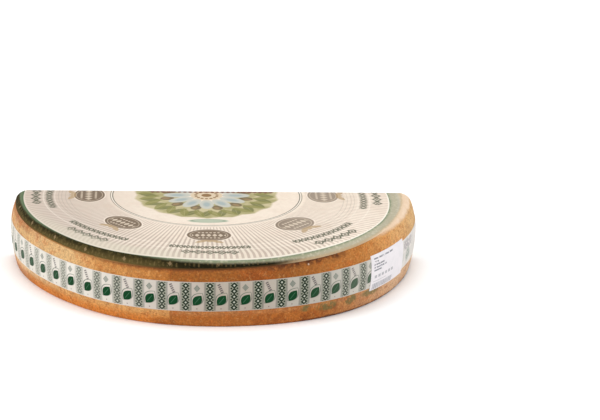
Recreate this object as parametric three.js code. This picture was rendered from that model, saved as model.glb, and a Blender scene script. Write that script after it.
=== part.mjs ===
// Half a wheel of hard mountain cheese, cut straight through the middle and lying on its flat underside.
// A round printed paper covers the top and laps over the shoulder, a paper band runs round the side,
// and a small ticket is stuck over the band. Millimetres, +Z up, the cut face towards +Y.

import * as THREE from "three";

// The wheel
const WHEEL_RADIUS = 320;
const WHEEL_HEIGHT = 108;
const WIDEST_HEIGHT = 59;
const TOP_TAPER = 14;
const FOOT_TAPER = 7.5;
const SHOULDER_ROUND = 20;
const FOOT_ROUND = 3;
const OUT_OF_ROUND = -2.9;
const RIPPLE = 1.85;
const RIPPLE_START = THREE.MathUtils.degToRad(-8);

// The papers on it
const PAPER_THICKNESS = 0.5;
const GAP = 0.3;
const TOP_PAPER_RADIUS = 307.5;
const TOP_PAPER_CENTRE = new THREE.Vector2(-9.3, -15.8);
const TOP_PAPER_FLAT_PART = 280;
const BAND_FOOT = 26.5;
const BAND_HEAD = 72.5;
const BAND_SWAY = -2.9;
const TICKET_FOOT = 21;
const TICKET_HEAD = 77;
const TICKET_START = THREE.MathUtils.degToRad(-43.8);
const TICKET_END = THREE.MathUtils.degToRad(-25.5);
const TICKET_STEP_DOWN = 3;

// How finely the round shapes are faceted
const STEPS_ROUND = 80;
const SHOULDER_STEPS = 8;
const SIDE_STEPS = 12;
const FOOT_STEPS = 3;
const PAPER_RINGS = 12;
const BAND_ROWS = 6;
const TICKET_COLUMNS = 10;

// Radius of the barrel-shaped side at a height.
function sideRadius(height) {
  const above = height > WIDEST_HEIGHT;
  const reach = above ? WHEEL_HEIGHT - WIDEST_HEIGHT : WIDEST_HEIGHT;
  const taper = above ? TOP_TAPER : FOOT_TAPER;
  return WHEEL_RADIUS - taper * ((height - WIDEST_HEIGHT) / reach) ** 2;
}

// Angle by which the side's outward normal is turned up at a height.
function sideLean(height) {
  const above = height > WIDEST_HEIGHT;
  const reach = above ? WHEEL_HEIGHT - WIDEST_HEIGHT : WIDEST_HEIGHT;
  const taper = above ? TOP_TAPER : FOOT_TAPER;
  return Math.atan((2 * taper * (height - WIDEST_HEIGHT)) / reach ** 2);
}

// A round of the given radius between a flat face and the side, tangent to both.
// Its height on the side follows from the side's lean there, found by a few repeated steps.
function roundedEdge(faceHeight, radius) {
  const inward = faceHeight > WIDEST_HEIGHT ? -1 : 1;
  const centreHeight = faceHeight + inward * radius;
  let height = centreHeight;
  for (let pass = 0; pass < 20; pass += 1) {
    height = centreHeight + radius * Math.sin(sideLean(height));
  }
  const lean = sideLean(height);
  return { height, lean, centre: new THREE.Vector2(sideRadius(height) - radius * Math.cos(lean), centreHeight) };
}

class BarrelCurve extends THREE.Curve {
  constructor(fromHeight, toHeight) {
    super();
    this.fromHeight = fromHeight;
    this.toHeight = toHeight;
  }

  getPoint(t, target = new THREE.Vector2()) {
    const height = THREE.MathUtils.lerp(this.fromHeight, this.toHeight, t);
    return target.set(sideRadius(height), height);
  }
}

// The outline of the rind, as radius and height, from the edge of the top face to that of the underside.
const shoulder = roundedEdge(WHEEL_HEIGHT, SHOULDER_ROUND);
const foot = roundedEdge(0, FOOT_ROUND);
const shoulderArc = new THREE.EllipseCurve(
  shoulder.centre.x, shoulder.centre.y, SHOULDER_ROUND, SHOULDER_ROUND, Math.PI / 2, shoulder.lean, true,
);
const barrel = new BarrelCurve(shoulder.height, foot.height);
const footArc = new THREE.EllipseCurve(
  foot.centre.x, foot.centre.y, FOOT_ROUND, FOOT_ROUND, foot.lean, -Math.PI / 2, true,
);
const rindLine = new THREE.CurvePath();
rindLine.add(shoulderArc);
rindLine.add(barrel);
rindLine.add(footArc);

// A point of the wheel from its radius, its angle round the axis and its height.
// The half wheel is the half with angles from -180 to 0 degrees, a little out of round.
function place(radius, angle, height) {
  const bulge = OUT_OF_ROUND * Math.sin(2 * angle) + RIPPLE * Math.sin(6 * (angle - RIPPLE_START));
  const reach = radius + bulge * (radius / WHEEL_RADIUS) ** 2;
  return new THREE.Vector3(reach * Math.cos(angle), reach * Math.sin(angle), height);
}

// A point at a distance from the axis, measured over the top face and down the rind, lifted off it.
function overTop(distance, angle, lift) {
  const flatRadius = shoulder.centre.x;
  if (distance <= flatRadius) return place(distance, angle, WHEEL_HEIGHT + lift);
  const along = (distance - flatRadius) / rindLine.getLength();
  const point = rindLine.getPoint(along);
  const tangent = rindLine.getTangent(along);
  return place(point.x - tangent.y * lift, angle, point.y + tangent.x * lift);
}

// A point of the side at a height, lifted off it.
function overSide(height, angle, lift) {
  const lean = sideLean(height);
  return place(sideRadius(height) + lift * Math.cos(lean), angle, height + lift * Math.sin(lean));
}

// A point of the side at a height on the band, which was glued on a little higher at the right than at the left.
function alongBand(height, angle, lift) {
  return overSide(height + BAND_SWAY * Math.sin(2 * angle), angle, lift);
}

// Where the edge of the top paper lies on the ray at an angle, as a distance from the wheel's axis.
function topPaperReach(angle) {
  const along = TOP_PAPER_CENTRE.x * Math.cos(angle) + TOP_PAPER_CENTRE.y * Math.sin(angle);
  return along + Math.sqrt(TOP_PAPER_RADIUS ** 2 - TOP_PAPER_CENTRE.lengthSq() + along ** 2);
}

// Triangles collected one by one, which become a geometry.
class Shell {
  constructor() {
    this.corners = [];
  }

  triangle(a, b, c) {
    this.corners.push(a, b, c);
  }

  quad(a, b, c, d) {
    this.triangle(a, b, c);
    this.triangle(a, c, d);
  }

  geometry() {
    const geometry = new THREE.BufferGeometry().setFromPoints(this.corners);
    geometry.computeVertexNormals();
    return geometry;
  }
}

// Evenly spaced values from start to end, both included.
function evenly(start, end, steps) {
  return Array.from({ length: steps + 1 }, (_, i) => THREE.MathUtils.lerp(start, end, i / steps));
}

// The angles of the facets, from one end of the cut face to the other.
const wheelAngles = evenly(-Math.PI, 0, STEPS_ROUND);

// A thin sheet over a grid of rows and columns, from its outer and inner surface.
// at(row, column, lift) gives a point. Rows run down, columns run anticlockwise.
function sheetGeometry(rows, columns, at, inner, outer) {
  const shell = new Shell();
  for (let r = 0; r < rows; r += 1) {
    for (let c = 0; c < columns; c += 1) {
      shell.quad(at(r, c, outer), at(r + 1, c, outer), at(r + 1, c + 1, outer), at(r, c + 1, outer));
      shell.quad(at(r, c, inner), at(r, c + 1, inner), at(r + 1, c + 1, inner), at(r + 1, c, inner));
    }
    shell.quad(at(r, 0, inner), at(r + 1, 0, inner), at(r + 1, 0, outer), at(r, 0, outer));
    shell.quad(at(r, columns, outer), at(r + 1, columns, outer), at(r + 1, columns, inner), at(r, columns, inner));
  }
  for (let c = 0; c < columns; c += 1) {
    shell.quad(at(0, c, inner), at(0, c, outer), at(0, c + 1, outer), at(0, c + 1, inner));
    shell.quad(at(rows, c, outer), at(rows, c, inner), at(rows, c + 1, inner), at(rows, c + 1, outer));
  }
  return shell.geometry();
}

// The body of the cheese: rind, flat top and underside, and the flat cut face.
function cheeseGeometry() {
  const outline = [
    ...shoulderArc.getPoints(SHOULDER_STEPS),
    ...barrel.getPoints(SIDE_STEPS).slice(1),
    ...footArc.getPoints(FOOT_STEPS).slice(1),
  ];
  const shell = new Shell();
  const last = outline.length - 1;
  const at = (i, angle) => place(outline[i].x, angle, outline[i].y);
  const topCentre = new THREE.Vector3(0, 0, outline[0].y);
  const footCentre = new THREE.Vector3(0, 0, outline[last].y);
  for (let s = 0; s < STEPS_ROUND; s += 1) {
    const [from, to] = [wheelAngles[s], wheelAngles[s + 1]];
    shell.triangle(topCentre, at(0, from), at(0, to));
    shell.triangle(footCentre, at(last, to), at(last, from));
    for (let i = 0; i < last; i += 1) {
      shell.quad(at(i, from), at(i + 1, from), at(i + 1, to), at(i, to));
    }
  }
  shell.triangle(topCentre, at(0, 0), at(1, 0));
  shell.triangle(topCentre, at(1, 0), at(1, -Math.PI));
  shell.triangle(topCentre, at(1, -Math.PI), at(0, -Math.PI));
  for (let i = 1; i < last - 1; i += 1) {
    shell.quad(at(i, 0), at(i + 1, 0), at(i + 1, -Math.PI), at(i, -Math.PI));
  }
  shell.triangle(footCentre, at(last - 1, 0), at(last, 0));
  shell.triangle(footCentre, at(last - 1, -Math.PI), at(last - 1, 0));
  shell.triangle(footCentre, at(last, -Math.PI), at(last - 1, -Math.PI));
  return shell.geometry();
}

// The round paper on the top: one fan over the flat part and rings that follow the shoulder to its edge.
function topPaperGeometry() {
  const shell = new Shell();
  const inner = GAP;
  const outer = GAP + PAPER_THICKNESS;
  const at = (ring, angle, lift) => {
    const reach = topPaperReach(angle);
    return overTop(THREE.MathUtils.lerp(TOP_PAPER_FLAT_PART, reach, ring / PAPER_RINGS), angle, lift);
  };
  const centre = (lift) => overTop(0, 0, lift);
  for (let s = 0; s < STEPS_ROUND; s += 1) {
    const [from, to] = [wheelAngles[s], wheelAngles[s + 1]];
    shell.triangle(centre(outer), at(0, from, outer), at(0, to, outer));
    shell.triangle(centre(inner), at(0, to, inner), at(0, from, inner));
    for (let ring = 0; ring < PAPER_RINGS; ring += 1) {
      shell.quad(at(ring, from, outer), at(ring + 1, from, outer), at(ring + 1, to, outer), at(ring, to, outer));
      shell.quad(at(ring, from, inner), at(ring, to, inner), at(ring + 1, to, inner), at(ring + 1, from, inner));
    }
    shell.quad(
      at(PAPER_RINGS, from, outer), at(PAPER_RINGS, from, inner),
      at(PAPER_RINGS, to, inner), at(PAPER_RINGS, to, outer),
    );
  }
  const left = -Math.PI;
  shell.quad(centre(inner), at(0, left, inner), at(0, left, outer), centre(outer));
  shell.quad(centre(outer), at(0, 0, outer), at(0, 0, inner), centre(inner));
  for (let ring = 0; ring < PAPER_RINGS; ring += 1) {
    shell.quad(at(ring, left, inner), at(ring + 1, left, inner), at(ring + 1, left, outer), at(ring, left, outer));
    shell.quad(at(ring, 0, outer), at(ring + 1, 0, outer), at(ring + 1, 0, inner), at(ring, 0, inner));
  }
  return shell.geometry();
}

// The paper band round the side, from one end of the cut face to the other.
function bandGeometry() {
  const heights = evenly(BAND_HEAD, BAND_FOOT, BAND_ROWS);
  const at = (row, column, lift) => alongBand(heights[row], wheelAngles[column], lift);
  return sheetGeometry(BAND_ROWS, STEPS_ROUND, at, GAP, GAP + PAPER_THICKNESS);
}

// The ticket lies on the band, and steps down to the rind above and below it.
function ticketGeometry() {
  const overBand = GAP + PAPER_THICKNESS + GAP;
  const head = BAND_HEAD + overBand;
  const foot = BAND_FOOT - overBand;
  const rows = [
    { height: TICKET_HEAD, lift: overBand },
    { height: head, lift: overBand },
    ...evenly(BAND_HEAD, BAND_FOOT, BAND_ROWS).slice(1, -1).map((height) => ({ height, lift: overBand })),
    { height: foot, lift: overBand },
    { height: foot - TICKET_STEP_DOWN, lift: GAP },
    { height: TICKET_FOOT, lift: GAP },
  ];
  const angles = evenly(TICKET_START, TICKET_END, TICKET_COLUMNS);
  const at = (row, column, lift) => alongBand(rows[row].height, angles[column], rows[row].lift + lift);
  return sheetGeometry(rows.length - 1, TICKET_COLUMNS, at, 0, PAPER_THICKNESS);
}

function material(color, roughness) {
  return new THREE.MeshStandardMaterial({ color, roughness, metalness: 0 });
}

function piece(name, geometry, finish) {
  const mesh = new THREE.Mesh(geometry, finish);
  mesh.name = name;
  return mesh;
}

const halfWheel = new THREE.Group();
halfWheel.add(
  piece("cheese", cheeseGeometry(), material(0xc98f4a, 0.7)),
  piece("top_paper", topPaperGeometry(), material(0xd9cfbd, 0.8)),
  piece("side_band", bandGeometry(), material(0xe4e3dd, 0.75)),
  piece("side_ticket", ticketGeometry(), material(0xeef0f2, 0.6)),
);

// The origin is at the middle of the footprint, on the surface that the cheese lies on.
const bandSurface = wheelAngles.map((angle) => overSide(WIDEST_HEIGHT, angle, GAP + PAPER_THICKNESS));
halfWheel.position.y = Math.max(...bandSurface.map((point) => -point.y)) / 2;

export default halfWheel;
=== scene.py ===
# Half a wheel of hard mountain cheese, cut straight through the middle and lying on its flat underside.
# Metres, +Z up, the rind towards -Y and the cut face towards +Y. Turns are measured round the wheel's
# axis from the front: -90 degrees is the left end of the cut face and 90 degrees its right end.

import math

import bmesh
import bpy
from bpy.props import FloatProperty, FloatVectorProperty, IntProperty, PointerProperty
from mathutils import Matrix, Vector


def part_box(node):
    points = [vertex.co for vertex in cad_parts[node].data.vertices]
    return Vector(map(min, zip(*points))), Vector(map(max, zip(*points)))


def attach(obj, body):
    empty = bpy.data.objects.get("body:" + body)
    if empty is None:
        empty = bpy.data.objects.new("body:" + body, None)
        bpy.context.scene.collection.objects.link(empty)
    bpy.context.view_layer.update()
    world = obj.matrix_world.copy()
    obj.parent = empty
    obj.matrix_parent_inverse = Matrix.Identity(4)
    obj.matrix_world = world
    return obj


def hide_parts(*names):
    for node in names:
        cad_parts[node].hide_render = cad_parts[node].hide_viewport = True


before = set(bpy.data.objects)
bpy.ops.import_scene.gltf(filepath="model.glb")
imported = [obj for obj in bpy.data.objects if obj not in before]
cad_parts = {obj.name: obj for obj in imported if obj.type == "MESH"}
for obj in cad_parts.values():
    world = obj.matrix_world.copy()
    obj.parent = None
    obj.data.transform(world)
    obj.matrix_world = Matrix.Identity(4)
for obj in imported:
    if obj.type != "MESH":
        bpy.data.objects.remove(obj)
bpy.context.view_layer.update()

bl_info = {
    "name": "Half Wheel of Mountain Cheese",
    "version": (1, 0, 0),
    "blender": (4, 5, 0),
    "location": "View3D > Sidebar > Cheese",
    "description": "Builds half a wheel of hard mountain cheese with its printed papers",
    "category": "Add Mesh",
}

# What the frame gives: the whole box, and the plane of the cut, which holds the wheel's axis.
CHEESE_LOW, CHEESE_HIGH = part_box("cheese")
CUT_Y = CHEESE_HIGH[1]
MM = 0.001


def tone(red, green, blue):
    """A colour as it shows on a screen, turned into the linear numbers that shaders take."""
    return tuple(v / 12.92 if v <= 0.04045 else ((v + 0.055) / 1.055) ** 2.4 for v in (red, green, blue))


def length(name, default, description):
    return FloatProperty(
        name=name, default=default, description=description, subtype="DISTANCE", unit="LENGTH",
    )


def turn(name, degrees, description):
    return FloatProperty(name=name, default=math.radians(degrees), description=description, subtype="ANGLE")


def colour(name, default, description):
    return FloatVectorProperty(name=name, default=default, description=description, subtype="COLOR", size=3)


class CheeseWheelSizes(bpy.types.PropertyGroup):
    radius: length("Radius", 0.320, "Radius of the wheel where it is widest")
    height: length("Height", CHEESE_HIGH[2], "Height of the wheel")
    widest: length("Widest at", 0.059, "Height at which the side is widest")
    top_taper: length("Top taper", 0.014, "How far the side draws in from its widest height to the top")
    foot_taper: length("Foot taper", 0.0075, "How far the side draws in from its widest height to the foot")
    shoulder: length("Shoulder", 0.020, "Radius of the round between the top and the side")
    foot: length("Foot", 0.003, "Radius of the round between the side and the underside")
    out_of_round: length("Out of round", 0.0029, "How far it bulges at the right and draws in at the left")
    ripple: length("Ripple", 0.00185, "Depth of the shallow waves round the side")
    ripple_start: turn("Ripple start", 82.0, "Turn at which a wave starts")
    swell: length("Swell", 0.0011, "Depth of the soft hollows in the rind, a hand's width apart")
    grain: length("Grain", 0.0005, "Depth of the rind's grain")
    steps: IntProperty(name="Steps round", default=800, description="Steps in which the section is spun")


class CheesePaperSizes(bpy.types.PropertyGroup):
    lift: length("Lift", 0.0001, "Gap between a paper and what it is stuck to")
    thickness: length("Thickness", 0.0004, "Thickness of a paper")
    top_radius: length("Top paper", 0.3075, "Radius of the round paper on the top")
    top_x: length("Top paper X", -0.0093, "Middle of the top paper, across from the wheel's axis")
    top_y: length("Top paper Y", -0.0158, "Middle of the top paper, forward of the wheel's axis")
    print_x: length("Print X", -0.013, "Middle of the top paper's print, across from the wheel's axis")
    print_y: length("Print Y", -0.020, "Middle of the top paper's print, forward of the wheel's axis")
    band_foot: length("Band foot", 0.0265, "Height of the band's lower edge")
    band_head: length("Band head", 0.0725, "Height of the band's upper edge")
    band_sway: length("Band sway", 0.0029, "How much higher it sits at the right and lower at the left")
    ticket_foot: length("Ticket foot", 0.021, "Height of the ticket's lower edge")
    ticket_head: length("Ticket head", 0.077, "Height of the ticket's upper edge")
    ticket_start: turn("Ticket start", 46.2, "Turn of the ticket's left edge")
    ticket_end: turn("Ticket end", 64.5, "Turn of the ticket's right edge")


class CheeseColours(bpy.types.PropertyGroup):
    gold: colour("Rind gold", tone(0.79, 0.64, 0.44), "Dry golden rind at the left end")
    honey: colour("Rind honey", tone(0.79, 0.60, 0.38), "Golden rind at the right end")
    amber: colour("Rind amber", tone(0.76, 0.54, 0.30), "Deeper golden rind")
    orange: colour("Rind orange", tone(0.68, 0.43, 0.19), "Orange rind")
    brown: colour("Rind brown", tone(0.56, 0.33, 0.12), "Brown rind at the front")
    rust: colour("Rind rust", tone(0.53, 0.27, 0.08), "Reddest rind")
    # Also laid right under the top paper at the front, where it is painted shade.
    burnt_and_shade: colour("Rind spots", tone(0.33, 0.17, 0.08), "Dark spots and stains of the rind")
    paste: colour("Paste", tone(0.94, 0.78, 0.39), "The cut face")
    paper: colour("Top paper", tone(0.88, 0.83, 0.77), "Ground of the top paper")
    band: colour("Band", tone(0.74, 0.70, 0.66), "Ground of the band")
    ticket: colour("Ticket", tone(0.87, 0.85, 0.86), "Ground of the ticket")
    ink: colour("Ink", tone(0.47, 0.41, 0.35), "Grey-brown ink of the top paper")
    green: colour("Green ink", tone(0.02, 0.23, 0.11), "Strong green ink of the band")


def wheel():
    return bpy.context.scene.cheese_wheel


def papers():
    return bpy.context.scene.cheese_papers


def colours():
    return bpy.context.scene.cheese_colours


# The wheel's outline

RIPPLES = 6  # waves round a whole wheel
SETTLING_STEPS = 20
FOOT_STEPS = 4
SHOULDER_STEPS = 16
FINE = 1.5 * MM
COARSE = 5 * MM


def side_slope(height):
    """Taper and reach that shape the side at a height."""
    size = wheel()
    if height > size.widest:
        return size.top_taper, size.height - size.widest
    return size.foot_taper, size.widest


def side_radius(height):
    """Radius of the barrel-shaped side at a height."""
    taper, reach = side_slope(height)
    return wheel().radius - taper * ((height - wheel().widest) / reach) ** 2


def side_lean(height):
    """Angle by which the side's outward normal is turned up at a height."""
    taper, reach = side_slope(height)
    return math.atan(2 * taper * (height - wheel().widest) / reach ** 2)


def rounded_edge(face_height, radius):
    """A round between a flat face and the side: its height and lean on the side, and its centre.

    Its height on the side follows from the side's lean there, found by a few repeated steps.
    """
    inward = -radius if face_height > wheel().widest else radius
    centre_height = face_height + inward
    height = centre_height
    for _ in range(SETTLING_STEPS):
        height = centre_height + radius * math.sin(side_lean(height))
    lean = side_lean(height)
    return height, lean, (side_radius(height) - radius * math.cos(lean), centre_height)


def arc_points(centre, radius, start, end, steps):
    """Points of an arc in the section, as radius and height."""
    angles = [start + (end - start) * i / steps for i in range(steps + 1)]
    return [(centre[0] + radius * math.cos(a), centre[1] + radius * math.sin(a)) for a in angles]


def barrel_points(low, high, spacing):
    """Points of the side between two heights, about as far apart as spacing says."""
    steps = max(1, round((high - low) / spacing))
    heights = [low + (high - low) * i / steps for i in range(steps + 1)]
    return [(side_radius(h), h) for h in heights]


def rind_outline():
    """The rind from the edge of the underside up to the edge of the flat top, finest where it shows."""
    size = wheel()
    foot_height, foot_lean, foot_centre = rounded_edge(0, size.foot)
    shoulder_height, shoulder_lean, shoulder_centre = rounded_edge(size.height, size.shoulder)
    band_low, band_high = papers().band_foot + papers().band_sway, papers().band_head - papers().band_sway
    points = arc_points(foot_centre, size.foot, -math.pi / 2, foot_lean, FOOT_STEPS)
    points += barrel_points(foot_height, band_low, FINE)[1:]
    points += barrel_points(band_low, band_high, COARSE)[1:]
    points += barrel_points(band_high, shoulder_height, FINE)[1:]
    points += arc_points(shoulder_centre, size.shoulder, shoulder_lean, math.pi / 2, SHOULDER_STEPS)[1:]
    return points


def place(radius, turned, height):
    """A point of the wheel, a little out of round, from its radius, its turn and its height."""
    size = wheel()
    ripple = size.ripple * math.sin(RIPPLES * (turned - size.ripple_start))
    bulge = size.out_of_round * math.sin(2 * turned) + ripple
    reach = radius + bulge * (radius / size.radius) ** 2
    return Vector((reach * math.sin(turned), CUT_Y - reach * math.cos(turned), height))


def over_side(height, turned, lift):
    """A point of the side, lifted off it."""
    lean = side_lean(height)
    return place(side_radius(height) + lift * math.cos(lean), turned, height + lift * math.sin(lean))


def sway(turned):
    """How much higher the band sits at a turn than on average."""
    return papers().band_sway * math.sin(2 * turned)


def over_top(distance, turned, lift):
    """A point at a distance from the axis, measured over the flat top and down the shoulder and side."""
    size = wheel()
    shoulder_height, lean, centre = rounded_edge(size.height, size.shoulder)
    past = distance - centre[0]
    if past <= 0:
        return place(distance, turned, size.height + lift)
    bend = math.pi / 2 - past / size.shoulder
    if bend >= lean:
        reach = size.shoulder + lift
        return place(centre[0] + reach * math.cos(bend), turned, centre[1] + reach * math.sin(bend))
    left = past - size.shoulder * (math.pi / 2 - lean)
    return over_side(shoulder_height - left * math.cos(lean), turned, lift)


def paper_reach(turned):
    """How far the top paper's edge lies from the wheel's axis, measured over the top and the shoulder."""
    size = papers()
    along = size.top_x * math.sin(turned) - size.top_y * math.cos(turned)
    return along + math.sqrt(size.top_radius ** 2 - size.top_x ** 2 - size.top_y ** 2 + along ** 2)


def turn_of(x, y):
    """Turn round the wheel's axis of a point given from the axis."""
    return math.atan2(x, -y)


# Modelling by hand, in code

def begin():
    """Nothing selected, nothing being edited."""
    if bpy.context.object and bpy.context.object.mode != "OBJECT":
        bpy.ops.object.mode_set(mode="OBJECT")
    bpy.ops.object.select_all(action="DESELECT")


def started(name):
    """The primitive just added gets its name, and its place goes into its mesh."""
    piece = bpy.context.object
    piece.name = name
    piece.data.name = name
    bpy.ops.object.transform_apply(location=True, rotation=True, scale=True)
    return piece


def edit():
    bpy.ops.object.mode_set(mode="EDIT")


def done():
    bpy.ops.object.mode_set(mode="OBJECT")


def select(kind, test):
    """In edit mode, selects the faces or the edges for which the test holds."""
    bpy.ops.mesh.select_mode(type=kind)
    bpy.ops.mesh.select_all(action="DESELECT")
    mesh = bmesh.from_edit_mesh(bpy.context.object.data)
    for element in mesh.faces if kind == "FACE" else mesh.edges:
        element.select = test(element)
    bmesh.update_edit_mesh(bpy.context.object.data)


def weld():
    """Merges doubled corners and turns every face outwards."""
    bpy.ops.mesh.select_all(action="SELECT")
    bpy.ops.mesh.remove_doubles(threshold=0.05 * MM)
    bpy.ops.mesh.normals_make_consistent(inside=False)


def displace(piece, name, size, depth, group):
    """Relief from a cloud pattern of the given size, as deep as depth from hollow to crest."""
    clouds = bpy.data.textures.new(name, "CLOUDS")
    clouds.noise_scale = size
    clouds.noise_depth = 2
    modifier = piece.modifiers.new(name, "DISPLACE")
    modifier.texture = clouds
    modifier.texture_coords = "LOCAL"
    modifier.vertex_group = group
    modifier.strength = depth
    modifier.mid_level = 0.5
    bpy.ops.object.modifier_apply(modifier=name)
    bpy.data.textures.remove(clouds)


def smooth():
    """Smooth shading, broken only where two faces meet at more than 40 degrees."""
    bpy.ops.object.shade_smooth_by_angle(angle=math.radians(40))


def thicken(piece, thickness):
    """Gives a paper its thickness, outwards from the side that it is stuck down with."""
    modifier = piece.modifiers.new("Thickness", "SOLIDIFY")
    modifier.thickness = thickness
    modifier.offset = 1
    modifier.use_even_offset = True
    bpy.ops.object.modifier_apply(modifier="Thickness")


def keep_flat_map(piece, middle):
    """Keeps where each corner of a paper lies while it is still flat, in metres from its middle."""
    layers = piece.data.uv_layers
    while layers:
        layers.remove(layers[0])
    flat = layers.new(name="flat")
    for loop in piece.data.loops:
        corner = piece.data.vertices[loop.vertex_index].co
        flat.data[loop.index].uv = (corner.x - middle[0], corner.y - middle[1])


def hand_over(piece, node, finishes):
    """The finished piece gets its materials, its CAD node is hidden, and it moves with the body."""
    piece.data.materials.clear()
    for finish in finishes:
        piece.data.materials.append(finish)
    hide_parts(node)
    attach(piece, "root")


# Numbers that vary over a surface

class Field:
    """A number that varies over a surface: a socket of a material's nodes that takes plain arithmetic."""

    def __init__(self, finish, socket):
        self.finish = finish
        self.socket = socket

    def maths(self, operation, *others):
        node = self.finish.node("ShaderNodeMath", operation=operation)
        for socket, value in zip(node.inputs, (self, *others)):
            self.finish.feed(socket, value)
        return Field(self.finish, node.outputs[0])

    def __add__(self, other):
        return self.maths("ADD", other)

    def __sub__(self, other):
        return self.maths("SUBTRACT", other)

    def __rsub__(self, other):
        return self.maths("MULTIPLY_ADD", -1, other)

    def __mul__(self, other):
        return self.maths("MULTIPLY", other)

    def __truediv__(self, other):
        return self.maths("DIVIDE", other)

    def __neg__(self):
        return self.maths("MULTIPLY", -1)

    def __abs__(self):
        return self.maths("ABSOLUTE")

    def __or__(self, other):
        """The union of two shapes."""
        return self.maths("MAXIMUM", other)

    def __and__(self, other):
        """What two shapes share."""
        return self.maths("MINIMUM", other)

    def repeat(self, pitch, start=0.0):
        """The same field again and again, each time from -pitch/2 to pitch/2, with zero at start."""
        return (self - start).maths("WRAP", pitch / 2, -pitch / 2)

    def between(self, low, high):
        """0 at low, 1 at high and a soft step from one to the other."""
        node = self.finish.node("ShaderNodeMapRange", interpolation_type="SMOOTHSTEP")
        for name, value in (("Value", self), ("From Min", low), ("From Max", high)):
            self.finish.feed(node.inputs[name], value)
        return Field(self.finish, node.outputs[0])

    def cover(self, soft=0.5):
        """How thickly ink lies in a shape whose depth this is: 1 inside, 0 outside, with a soft edge."""
        return self.between(-soft / 2, soft / 2)

    def ramp(self, stops):
        """A colour that changes along the field, from (value, colour) stops between 0 and 1."""
        node = self.finish.node("ShaderNodeValToRGB")
        self.finish.feed(node.inputs[0], self)
        elements = node.color_ramp.elements
        while len(elements) < len(stops):
            elements.new(1)
        for element, (position, shade) in zip(elements, stops):
            element.position = position
            element.color = (*shade, 1)
        return node.outputs[0]


class Finish:
    """A material laid up as on the real thing: a ground colour, coats over it, relief and gloss."""

    def __init__(self, name, ground, roughness, shine=0.5):
        self.material = bpy.data.materials.new(name)
        self.material.use_nodes = True
        self.shader = self.material.node_tree.nodes["Principled BSDF"]
        self.shader.inputs["Roughness"].default_value = roughness
        self.shader.inputs["Specular IOR Level"].default_value = shine
        self.colour = ground
        self.height = None
        self.object_place = self.node("ShaderNodeTexCoord").outputs["Object"]

    def node(self, kind, **settings):
        node = self.material.node_tree.nodes.new(kind)
        for name, value in settings.items():
            setattr(node, name, value)
        return node

    def feed(self, socket, value):
        """Links a field or a socket, or sets a plain number or colour."""
        if isinstance(value, Field):
            value = value.socket
        if isinstance(value, bpy.types.NodeSocket):
            self.material.node_tree.links.new(value, socket)
        elif isinstance(value, (int, float)):
            socket.default_value = value
        else:
            socket.default_value = (*value, 1)

    def millimetres(self, socket):
        """The three fields of a place in metres, in millimetres."""
        node = self.node("ShaderNodeSeparateXYZ")
        self.feed(node.inputs[0], socket)
        return [Field(self, output) * 1000 for output in node.outputs]

    def flat_place(self):
        """Where a place lies on a paper while it is still flat, in millimetres across and up."""
        return self.millimetres(self.node("ShaderNodeUVMap", uv_map="flat").outputs[0])[:2]

    def noise(self, size, detail=2.0, roughness=0.5, stretch=(1, 1, 1)):
        """Cloudy noise from 0 to 1, with patches of about the given size in millimetres."""
        grid = self.node("ShaderNodeMapping")
        self.feed(grid.inputs["Vector"], self.object_place)
        grid.inputs["Scale"].default_value = [1000 / size / s for s in stretch]
        node = self.node("ShaderNodeTexNoise")
        self.feed(node.inputs["Vector"], grid.outputs[0])
        node.inputs["Scale"].default_value = 1
        node.inputs["Detail"].default_value = detail
        node.inputs["Roughness"].default_value = roughness
        return Field(self, node.outputs[0])

    def coat(self, shade, cover):
        """Lays a colour over what is there, as thickly as cover says from 0 to 1."""
        node = self.node("ShaderNodeMix", data_type="RGBA")
        self.feed(node.inputs[0], cover)
        self.feed(node.inputs[6], self.colour)
        self.feed(node.inputs[7], shade)
        self.colour = node.outputs[2]

    def shade_by(self, factor):
        """Makes the colour lighter or darker by a factor."""
        grey = self.node("ShaderNodeCombineColor")
        for socket in grey.inputs[:3]:
            self.feed(socket, factor)
        node = self.node("ShaderNodeMix", data_type="RGBA", blend_type="MULTIPLY")
        node.inputs[0].default_value = 1
        self.feed(node.inputs[6], self.colour)
        self.feed(node.inputs[7], grey.outputs[0])
        self.colour = node.outputs[2]

    def raise_by(self, height):
        """Adds a relief field, in millimetres."""
        self.height = height if self.height is None else self.height + height

    def ready(self):
        self.feed(self.shader.inputs["Base Color"], self.colour)
        if self.height is not None:
            bump = self.node("ShaderNodeBump")
            bump.inputs["Distance"].default_value = MM
            self.feed(bump.inputs["Height"], self.height)
            self.feed(self.shader.inputs["Normal"], bump.outputs[0])
        return self.material


# Flat shapes, as depth inside their outline in millimetres

def rod(across, half_width):
    return half_width - abs(across)


def box(across, up, half_width, half_height):
    return rod(across, half_width) & rod(up, half_height)


def disc(across, up, radius):
    return radius - (across * across + up * up).maths("SQRT")


def oval(across, up, half_width, half_height):
    """An oval: the depth is true across its shorter half."""
    reach = ((across / half_width).maths("POWER", 2) + (up / half_height).maths("POWER", 2)).maths("SQRT")
    return (1 - reach) * min(half_width, half_height)


def lozenge(across, up, half_width, half_height):
    return (1 - (abs(across) / half_width + abs(up) / half_height)) * min(half_width, half_height)


def leaf(across, along, half_width, half_length):
    """A pointed leaf that lies along the second direction."""
    belly = (1 - (along / half_length).maths("POWER", 2)) * half_width
    return belly - abs(across)


def line_of(shape, half_width):
    """The outline of a shape, drawn just inside its edge."""
    return rod(shape - half_width, half_width)


def turned_frame(across, up, degrees):
    """The same two directions, turned anticlockwise."""
    cosine, sine = math.cos(math.radians(degrees)), math.sin(math.radians(degrees))
    return across * cosine + up * sine, up * cosine - across * sine


def polar(across, up):
    """Distance from the middle in millimetres, and turn from the front in degrees."""
    distance = (across * across + up * up).maths("SQRT")
    return distance, across.maths("ARCTAN2", -up) * math.degrees(1)


# The rind and the cut face, with places in millimetres and turns in degrees

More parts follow.
